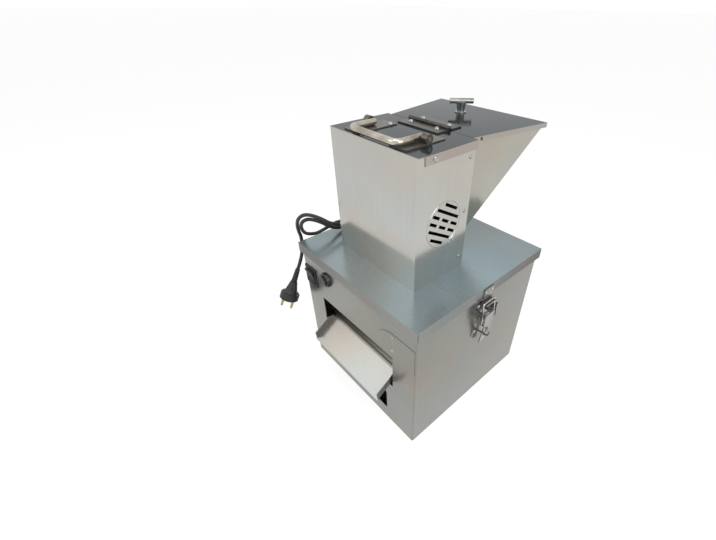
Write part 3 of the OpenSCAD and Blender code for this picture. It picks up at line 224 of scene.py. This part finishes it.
cord_line = bpy.data.curves.new("power_lead", "CURVE")
cord_line.dimensions = "3D"
cord_line.bevel_depth = cord_d / 2
cord_line.bevel_resolution = 4
cord_line.use_fill_caps = True
spline = cord_line.splines.new("POLY")
spline.points.add(len(cord_path) - 1)
for knot, point in zip(spline.points, cord_path):
    knot.co = (*point, 1)
power_lead = bpy.data.objects.new("power_lead", cord_line)
bpy.context.scene.collection.objects.link(power_lead)
rubber = moulded("black_rubber_skin", tone(17, 17, 18), tone(38, 38, 39), roughness=0.5)
power_lead.data.materials.append(rubber)
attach(power_lead, "mill")
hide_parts("power_cord")


# ---- Plug ----
# A round rubber plug moulded onto the lead, with a ribbed strain relief, a fluted grip, a flat
# face and two round brass pins. It hangs face down from the lead's last stretch.

last_stretch = cord_end - route[-2]
plug_tilt = math.atan2(-last_stretch.y, -last_stretch.z)
relief_len = 27 * MM
relief_r = cord_d / 2 + 1 * MM
relief_swell = 1.25 * MM
ribs = 6
rib_depth = 0.8 * MM
grip_len = 24 * MM
flutes = 12
flute_depth = 0.05
face_len = 14 * MM
face_r = 18 * MM
face_edge = 1.4 * MM
pin_gap = 19 * MM


def turned(name, profile, sides=48):
    """A turned piece on the Z axis: a disc, extruded and scaled through (z, radius) steps"""
    bpy.ops.object.select_all(action="DESELECT")
    z, r = profile[0]
    bpy.ops.mesh.primitive_circle_add(vertices=sides, radius=r, fill_type="NGON")
    piece = bpy.context.object
    piece.name = name
    bpy.ops.object.mode_set(mode="EDIT")
    bpy.ops.mesh.select_all(action="SELECT")
    bpy.ops.transform.translate(value=(0, 0, z))
    for next_z, next_r in profile[1:]:
        bpy.ops.mesh.extrude_region_move(
            TRANSFORM_OT_translate={"value": (0, 0, next_z - z)})
        bpy.ops.transform.resize(value=(next_r / r, next_r / r, 1),
                                 center_override=(0, 0, next_z))
        z, r = next_z, next_r
    bpy.ops.mesh.select_all(action="SELECT")
    bpy.ops.mesh.normals_make_consistent(inside=False)
    bpy.ops.object.mode_set(mode="OBJECT")
    return piece


def smoothed(piece, angle=35):
    """Shades a piece smooth, apart from edges sharper than the angle in degrees"""
    bpy.ops.object.select_all(action="DESELECT")
    piece.select_set(True)
    bpy.context.view_layer.objects.active = piece
    bpy.ops.object.shade_smooth_by_angle(angle=math.radians(angle))
    return piece


on_plug = (Matrix.Translation(cord_end) @ Matrix.Rotation(-plug_tilt, 4, "X")
           @ Matrix.Rotation(math.radians(45), 4, "Z"))
profile = [(0.2 * MM, cord_d / 2 + 0.3 * MM), (0, relief_r)]
for k in range(ribs):
    top = -(k * relief_len / ribs)
    low = top - relief_len / ribs
    rib_r = relief_r + relief_swell * (k + 1) / ribs
    profile += [(top - 0.5 * MM, rib_r), (low + 1.2 * MM, rib_r),
                (low + 0.9 * MM, rib_r - rib_depth), (low + 0.3 * MM, rib_r - rib_depth)]
grip_top = -relief_len
face_top = grip_top - grip_len
face_low = face_top - face_len
profile += [
    (grip_top, 6.5 * MM), (grip_top - 4 * MM, 7.6 * MM), (grip_top - 12 * MM, 9.6 * MM),
    (grip_top - 19 * MM, 11.6 * MM), (face_top, 13.2 * MM), (face_top, face_r - face_edge),
    (face_top - face_edge, face_r), (face_low + face_edge, face_r),
    (face_low, face_r - face_edge)]
plug = turned("plug_moulding", profile)
for vertex in plug.data.vertices:
    if face_top + MM < vertex.co.z < grip_top - 2 * MM:
        angle = math.atan2(vertex.co.y, vertex.co.x)
        pull = 1 - flute_depth * (1 + math.cos(flutes * angle))
        vertex.co.x *= pull
        vertex.co.y *= pull
plug.data.transform(on_plug)
plug.data.materials.append(rubber)
smoothed(plug)
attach(plug, "mill")
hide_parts("plug_body")

pin_r = 2.4 * MM
pin_len = 19 * MM
brass = Finish("pin_brass_skin", Metallic=0.9)
scuffs = brass.noise(300, stretch=(1, 1, 0.2), detail=3.0)
brass.surface({
    "Base Color": brass.mix(scuffs, tone(150, 128, 76), tone(196, 178, 118)),
    "Roughness": 0.26 + scuffs * 0.16})
pins = []
for side in (-1, 1):
    pin = turned("plug_pin", [
        (face_low + 0.5 * MM, pin_r), (face_low - pin_len + 2.2 * MM, pin_r),
        (face_low - pin_len + 0.9 * MM, pin_r * 0.8), (face_low - pin_len, pin_r * 0.35)], 24)
    pin.data.transform(Matrix.Translation((side * pin_gap / 2, 0, 0)))
    pin.data.transform(on_plug)
    pin.data.materials.append(brass.material)
    smoothed(pin, 50)
    pins.append(pin)
bpy.ops.object.select_all(action="DESELECT")
for pin in pins:
    pin.select_set(True)
bpy.context.view_layer.objects.active = pins[0]
bpy.ops.object.join()
plug_pins = bpy.context.object
plug_pins.name = "plug_contacts"
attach(plug_pins, "mill")
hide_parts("plug_pins")

cord_length = sum((b - a).length for a, b in zip(cord_path, cord_path[1:]))


# ---- Case ----
# Bent 1.2 mm stainless sheet: a square box with a floor, open at the top, with the flour outlet
# and the hand hole cut in its front. Its bends have the small radius of a press brake.

SHEET = 1.2 * MM
BEND = 2.4 * MM
WELD = 0.003 * MM
ALMOST_FLAT = math.radians(0.5)
SHARP_TURN = math.radians(25)


def copied(node, body, finish):
    """A copy of a CAD node's mesh with its seams merged, which stands for the node"""
    bpy.ops.object.select_all(action="DESELECT")
    piece = bpy.data.objects.new(node + "_made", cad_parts[node].data.copy())
    bpy.context.scene.collection.objects.link(piece)
    piece.data.materials.clear()
    piece.data.materials.append(finish)
    piece.select_set(True)
    bpy.context.view_layer.objects.active = piece
    bpy.ops.object.mode_set(mode="EDIT")
    bpy.ops.mesh.select_all(action="SELECT")
    bpy.ops.mesh.remove_doubles(threshold=WELD)
    bpy.ops.mesh.dissolve_limited(angle_limit=ALMOST_FLAT)
    bpy.ops.object.mode_set(mode="OBJECT")
    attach(piece, body)
    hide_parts(node)
    return piece


def is_wide(face):
    """True for a face of the sheet itself, and not of its cut edge"""
    around = sum(edge.calc_length() for edge in face.edges)
    return 2 * face.calc_area() / around > 2 * SHEET


def select_bends(piece, outer, shortest):
    """Selects the long edges where the sheet turns, on its outer or its inner side"""
    mesh = bmesh.from_edit_mesh(piece.data)
    for edge in mesh.edges:
        edge.select_set(False)
    for edge in mesh.edges:
        if len(edge.link_faces) != 2 or edge.calc_length() < shortest:
            continue
        if edge.calc_face_angle(0) < SHARP_TURN or edge.is_convex != outer:
            continue
        if all(is_wide(face) for face in edge.link_faces):
            edge.select_set(True)
    bmesh.update_edit_mesh(piece.data)
    return any(edge.select for edge in mesh.edges)


def weighted(piece):
    """Keeps broad faces flat in the shading and lets only the narrow ones turn"""
    smoothed(piece, 40)
    keep_flat = piece.modifiers.new("keep_flat", "WEIGHTED_NORMAL")
    keep_flat.keep_sharp = True
    bpy.ops.object.modifier_apply(modifier="keep_flat")
    return piece


def bent(node, body, finish, radius=BEND, shortest=8 * MM):
    """A sheet-metal piece: its CAD shape with its bends rounded, inside and out, by up to the
    radius, as far as the faces beside them leave room"""
    piece = copied(node, body, finish)
    bpy.ops.object.mode_set(mode="EDIT")
    bpy.ops.mesh.select_mode(type="EDGE")
    for outer in (False, True):
        if select_bends(piece, outer, shortest):
            bpy.ops.mesh.bevel(offset=radius if outer else radius - SHEET, segments=4,
                               clamp_overlap=True, loop_slide=False)
    bpy.ops.object.mode_set(mode="OBJECT")
    return weighted(piece)


UPWARDS = 0.8
WARM = (1.06, 1.0, 0.95, 1)
COOL = (0.95, 1.01, 1.04, 1)
SCRATCHED = 0.68
DULL = (0.8, 0.8, 0.8, 1)
CLEAN = (1, 1, 1, 1)


def tinted(color, tint):
    """A linear colour times a tint"""
    return tuple(c * k for c, k in zip(color, tint))


def steel(name, wall, flat, grain, roughness=0.2, metallic=0.85, edge=255):
    """Rolled stainless sheet with warm and cool clouds, fine streaks along the grain and faint
    scratches. Walls and faces that lie flat get their own tone, which is painted light and shade
    for how the sides and the top are lit. Edge, from 0 to 255, is how bright the sheet is when
    seen at a slant."""
    finish = Finish(name, Metallic=metallic, Specular_Tint=tone(edge, edge, edge))
    normal = finish.node("ShaderNodeTexCoord", output="Normal")
    height = finish.node("ShaderNodeSeparateXYZ", {}, {"Vector": normal}, "Z")
    # Painted light and shade: faces that look upwards take the flat tone, all others the wall
    # tone.
    painted_top_light_mask = height > UPWARDS
    streaks = finish.noise(1.0, stretch=grain, detail=3.0)
    clouds = finish.noise(9, detail=1.5, contrast=2.2)
    tint = finish.noise(6.5, stretch=(1, 1, 1.4), detail=1.0, contrast=3.0)
    scratches = finish.node("ShaderNodeTexNoise", {}, {
        "Vector": finish.place((90, 34, 60)), "Scale": 6, "Detail": 6.0,
        "Distortion": 2.5}) > SCRATCHED
    painted_light_tones = [finish.mix(tint, tinted(color, WARM), tinted(color, COOL))
             for color in (wall, flat)]
    plain = finish.mix(painted_top_light_mask, *painted_light_tones)
    wear = finish.mix(clouds * 0.65 + streaks * 0.35, DULL, CLEAN)
    finish.surface({
        "Base Color": finish.mix(1.0, plain, wear, "MULTIPLY"),
        "Roughness": roughness - 0.04 + streaks * 0.06 + clouds * 0.06 + scratches * 0.05,
        "Normal": finish.bump(streaks, 0.00003, 0.25)})
    return finish.material


UPRIGHT = (520, 520, 9)
ACROSS = (9, 520, 520)
# Painted light: the case's flat faces get a lighter tone than its walls.
case_steel = steel("case_sheet_steel", tone(141, 140, 134), tone(158, 156, 151), ACROSS, 0.24)
for node in ("case_body", "case_floor", "slide_plate", "outlet_chute"):
    bent(node, "mill", case_steel)
bent("corner_plate", "mill", case_steel, 1.4 * MM)


# ---- Lid of the case ----
# One bent stainless sheet with a turned-down skirt, held down by the two latches. It carries the
# tower and the hopper. Its broad top gets a cooler, bluer tone than its skirt: painted light and
# shade.

lid_steel = steel("lid_sheet_steel", tone(160, 160, 157), tone(160, 172, 176), ACROSS, 0.22, 0.75,
                  edge=80)
bent("base_lid", "mill", lid_steel, 2.6 * MM)


# ---- Motor tower ----
# A front and two sides bent from one bright sheet, a separate back, and a loose cover with
# turned-down edges on top. The right side has round-ended vent slots.

# Painted light and shade: the tower's flat faces get a slightly darker tone than its walls, and
# the cover's top a dark blue-grey far darker than its turned-down edges.
tower_steel = steel("tower_sheet_steel", tone(188, 187, 182), tone(176, 176, 172), UPRIGHT, 0.12)
cover_steel = steel("cover_sheet_steel", tone(172, 167, 162), tone(86, 93, 97), ACROSS, 0.1,
                    edge=215)
for node in ("tower_wrap", "tower_back"):
    bent(node, "mill", tower_steel)
bent("tower_cover", "mill", cover_steel, 2 * MM)


# ---- Hopper ----
# A funnel of bright sheet behind the tower, whose rear wall leans back, over a short throat with
# a sliding gate. Its flat lid folds up on a piano hinge, and its plated knob is a turned neck with
# a cross bar, screwed on from below.

# Painted light: the hopper's walls get a slightly lighter tone than its flat faces.
hopper_steel = steel("hopper_sheet_steel", tone(176, 173, 164), tone(170, 168, 162), UPRIGHT, 0.16)
for node in ("hopper_shell", "feed_throat"):
    bent(node, "mill", hopper_steel)
bent("feed_gate", "gate", hopper_steel)
# The lid takes the cover's sheet, whose top is painted dark as shade.
bent("hopper_lid", "hopper_lid_body", cover_steel, 2 * MM)


def softened(node, body, finish, width):
    """A solid metal or moulded piece: its CAD shape with every sharp edge broken"""
    piece = copied(node, body, finish)
    broken = piece.modifiers.new("broken_edges", "BEVEL")
    broken.width = width
    broken.segments = 2
    broken.limit_method = "ANGLE"
    broken.angle_limit = math.radians(38)
    bpy.ops.object.modifier_apply(modifier="broken_edges")
    return weighted(piece)


def polished(name, light, dark, roughness=0.16, metallic=0.9):
    """Turned, drawn or plated metal: small clouds and fine pits"""
    finish = Finish(name, Metallic=metallic)
    clouds = finish.noise(40, detail=3.0, contrast=2.0)
    pits = finish.noise(1500)
    finish.surface({
        "Base Color": finish.mix(clouds, dark, light),
        "Roughness": roughness + clouds * 0.1,
        "Normal": finish.bump(pits, 0.00002, 0.3)})
    return finish.material


bright = polished("plated_steel", tone(176, 176, 174), tone(112, 112, 110), 0.2)
softened("lid_knob", "hopper_lid_body", bright, 0.6 * MM)
softened("lid_screws", "hopper_lid_body", bright, 0.25 * MM)


# ---- Hinge of the hopper lid ----
# A short piano hinge in dark sheet, its two leaves curled round one pin. One leaf is screwed to
# the tower's cover and the other to the hopper's lid.

hinge_steel = polished("dark_hinge_steel", tone(92, 90, 86), tone(48, 46, 43), 0.28, 0.7)
for node, body in (("hinge_front_leaf", "mill"), ("hinge_rear_leaf", "hopper_lid_body")):
    softened(node, body, hinge_steel, 0.3 * MM)
softened("hinge_pin", "mill", hinge_steel, 0.3 * MM)


# ---- Carry handle ----
# A bent steel rod that folds flat between two plates screwed to the cover. Its plating is mixed in
# clouds between a pale warm grey and a brownish grey.

handle_steel = polished("handle_plating", tone(206, 200, 188), tone(130, 116, 98), 0.14)
plate_steel = polished("handle_plate_steel", tone(120, 116, 110), tone(78, 74, 70), 0.3, 0.8)
softened("handle_plates", "mill", plate_steel, 0.4 * MM)
softened("carry_handle", "handle", handle_steel, 0.3 * MM)


# ---- Screws and rivets ----
# Pan-head screws with hex nuts inside, and flat rivets, in plated steel. They hold the sheets to
# each other, and the handle, the hinge and the latches to the sheets.

for node in ("case_screws", "tower_screws", "rivets"):
    softened(node, "mill", bright, 0.25 * MM)


# ---- Toggle latches ----
# One on each side, in plated steel: a pressed base screwed to the case, a lever with a wire bail,
# and a hooked keeper riveted to the lid's skirt.

latch_steel = polished("latch_plating", tone(172, 171, 167), tone(92, 91, 88), 0.18)
wire_steel = polished("latch_wire", tone(206, 206, 204), tone(150, 150, 148))
for node in ("latch_bases", "latch_pins", "latch_keepers"):
    softened(node, "mill", latch_steel, 0.3 * MM)
for side in ("right", "left"):
    softened("latch_lever_" + side, "lever_" + side, latch_steel, 0.3 * MM)
    smoothed(copied("latch_bail_" + side, "bail_" + side, wire_steel), 60)


# ---- Switch, overload button and gland ----
# A black rocker switch in a bezel, a round overload button in a collar, and a black gland that
# tapers onto the cord.

black = moulded("black_moulding", tone(18, 18, 19), tone(42, 42, 43), 0.36, 1200)
button_black = moulded("button_moulding", tone(15, 15, 16), tone(40, 40, 41), 0.3, 1500)
softened("switch_frame", "mill", black, 0.4 * MM)
softened("switch_rocker", "rocker", black, 0.5 * MM)
softened("breaker_body", "mill", black, 0.5 * MM)
softened("reset_button", "reset", button_black, 0.5 * MM)
softened("cord_gland", "mill", black, 0.3 * MM)


# ---- Motor, chamber and wiring inside ----
# Cast end caps and a drawn steel can round the windings, and the grinding chamber under the lid.
# They show only through the vents, the outlet and the open hopper.

cast_finish = Finish("cast_aluminium", Metallic=0.75)
sand = cast_finish.noise(900, detail=3.0)
patches = cast_finish.noise(25)
cast_finish.surface({
    "Base Color": cast_finish.mix(patches, tone(128, 128, 126), tone(158, 158, 155)),
    "Roughness": 0.45 + sand * 0.15,
    "Normal": cast_finish.bump(sand, 0.0002)})
cast = cast_finish.material
motor_paint = polished("motor_can_steel", tone(96, 98, 100), tone(66, 68, 70), 0.35, 0.6)
copper_finish = Finish("enamelled_copper", Metallic=0.7)
strands = copper_finish.noise(1.0, stretch=(200, 200, 1400), detail=1.0, contrast=2.5)
copper_finish.surface({
    "Base Color": copper_finish.mix(strands, tone(96, 44, 20), tone(178, 96, 52)),
    "Roughness": 0.3 + strands * 0.15,
    "Normal": copper_finish.bump(strands, 0.0003)})
copper = copper_finish.material
white_plastic = moulded("white_moulding", tone(222, 221, 214), tone(202, 200, 192), 0.45)
fan_plastic = moulded("fan_moulding", tone(74, 76, 78), tone(104, 106, 108), 0.5)
inside = {
    cast: ("motor_flange", "motor_cap", "chamber_plate"),
    motor_paint: ("motor_can", "stator_core", "armature", "brush_gear"),
    copper: ("stator_windings", "armature_windings"),
    bright: ("motor_bolts", "rotor_shaft", "bearings", "sieve_ring", "chamber_floor",
             "chamber_studs", "grinding_blades", "rotor_nut"),
    rubber: ("shaft_seal", "inner_leads"),
    white_plastic: ("terminal_block",),
    fan_plastic: ("cooling_fan",)}
for finish, nodes in inside.items():
    for node in nodes:
        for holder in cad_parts[node].material_slots:
            holder.material = finish


# ---- Studio ----
# A plain white floor and world, a large soft lamp to the right, and weaker ones to the left
# and overhead.

FLOOR_SIZE = 60
FLOOR_GLOW = 1.12
GLOW_SHARE = 0.72
ROOM_LIGHT = 0.62


def shown_in(graph):
    """1 for rays that see the background straight, in metal or through glass, and else 0"""
    return sum(graph.node("ShaderNodeLightPath", output=ray)
               for ray in ("Is Camera Ray", "Is Glossy Ray", "Is Transmission Ray"))


floor_finish = Finish("white_floor", Base_Color=(0.9, 0.9, 0.9, 1), Roughness=0.8)
white = floor_finish.node("ShaderNodeEmission", {}, {"Strength": FLOOR_GLOW})
blend = floor_finish.node("ShaderNodeMixShader", {}, {
    "Fac": shown_in(floor_finish) * GLOW_SHARE,
    1: Value(floor_finish, floor_finish.shader.outputs[0]), 2: white})
floor_finish.feed(floor_finish.tree.nodes["Material Output"], {"Surface": blend})
bpy.ops.object.select_all(action="DESELECT")
bpy.ops.mesh.primitive_plane_add(size=FLOOR_SIZE)
floor = bpy.context.object
floor.name = "studio_floor"
floor.data.materials.append(floor_finish.material)

world = bpy.data.worlds.new("studio")
bpy.context.scene.world = world
world.use_nodes = True
sky = Graph(world.node_tree)
sky.feed(sky.tree.nodes["Background"], {
    "Color": (1, 1, 1, 1), "Strength": ROOM_LIGHT + shown_in(sky) * (1 - ROOM_LIGHT)})


def softbox(name, place, target, size, watts):
    """A square soft lamp that faces a target"""
    data = bpy.data.lights.new(name, "AREA")
    data.size = size
    data.energy = watts
    lamp = bpy.data.objects.new(name, data)
    aim = (Vector(target) - Vector(place)).to_track_quat("-Z", "Y")
    lamp.matrix_world = Matrix.Translation(place) @ aim.to_matrix().to_4x4()
    bpy.context.scene.collection.objects.link(lamp)


softbox("right_lamp", place=(1.5, -0.3, 1.2), target=(0, 0, 0.25), size=1.2, watts=16)
softbox("left_lamp", place=(-0.9, -1.6, 1.5), target=(0, 0, 0.35), size=1.2, watts=7)
softbox("top_lamp", place=(0.1, -0.5, 2.0), target=(0, -0.1, 0.3), size=1.0, watts=9)

bpy.context.view_layer.update()
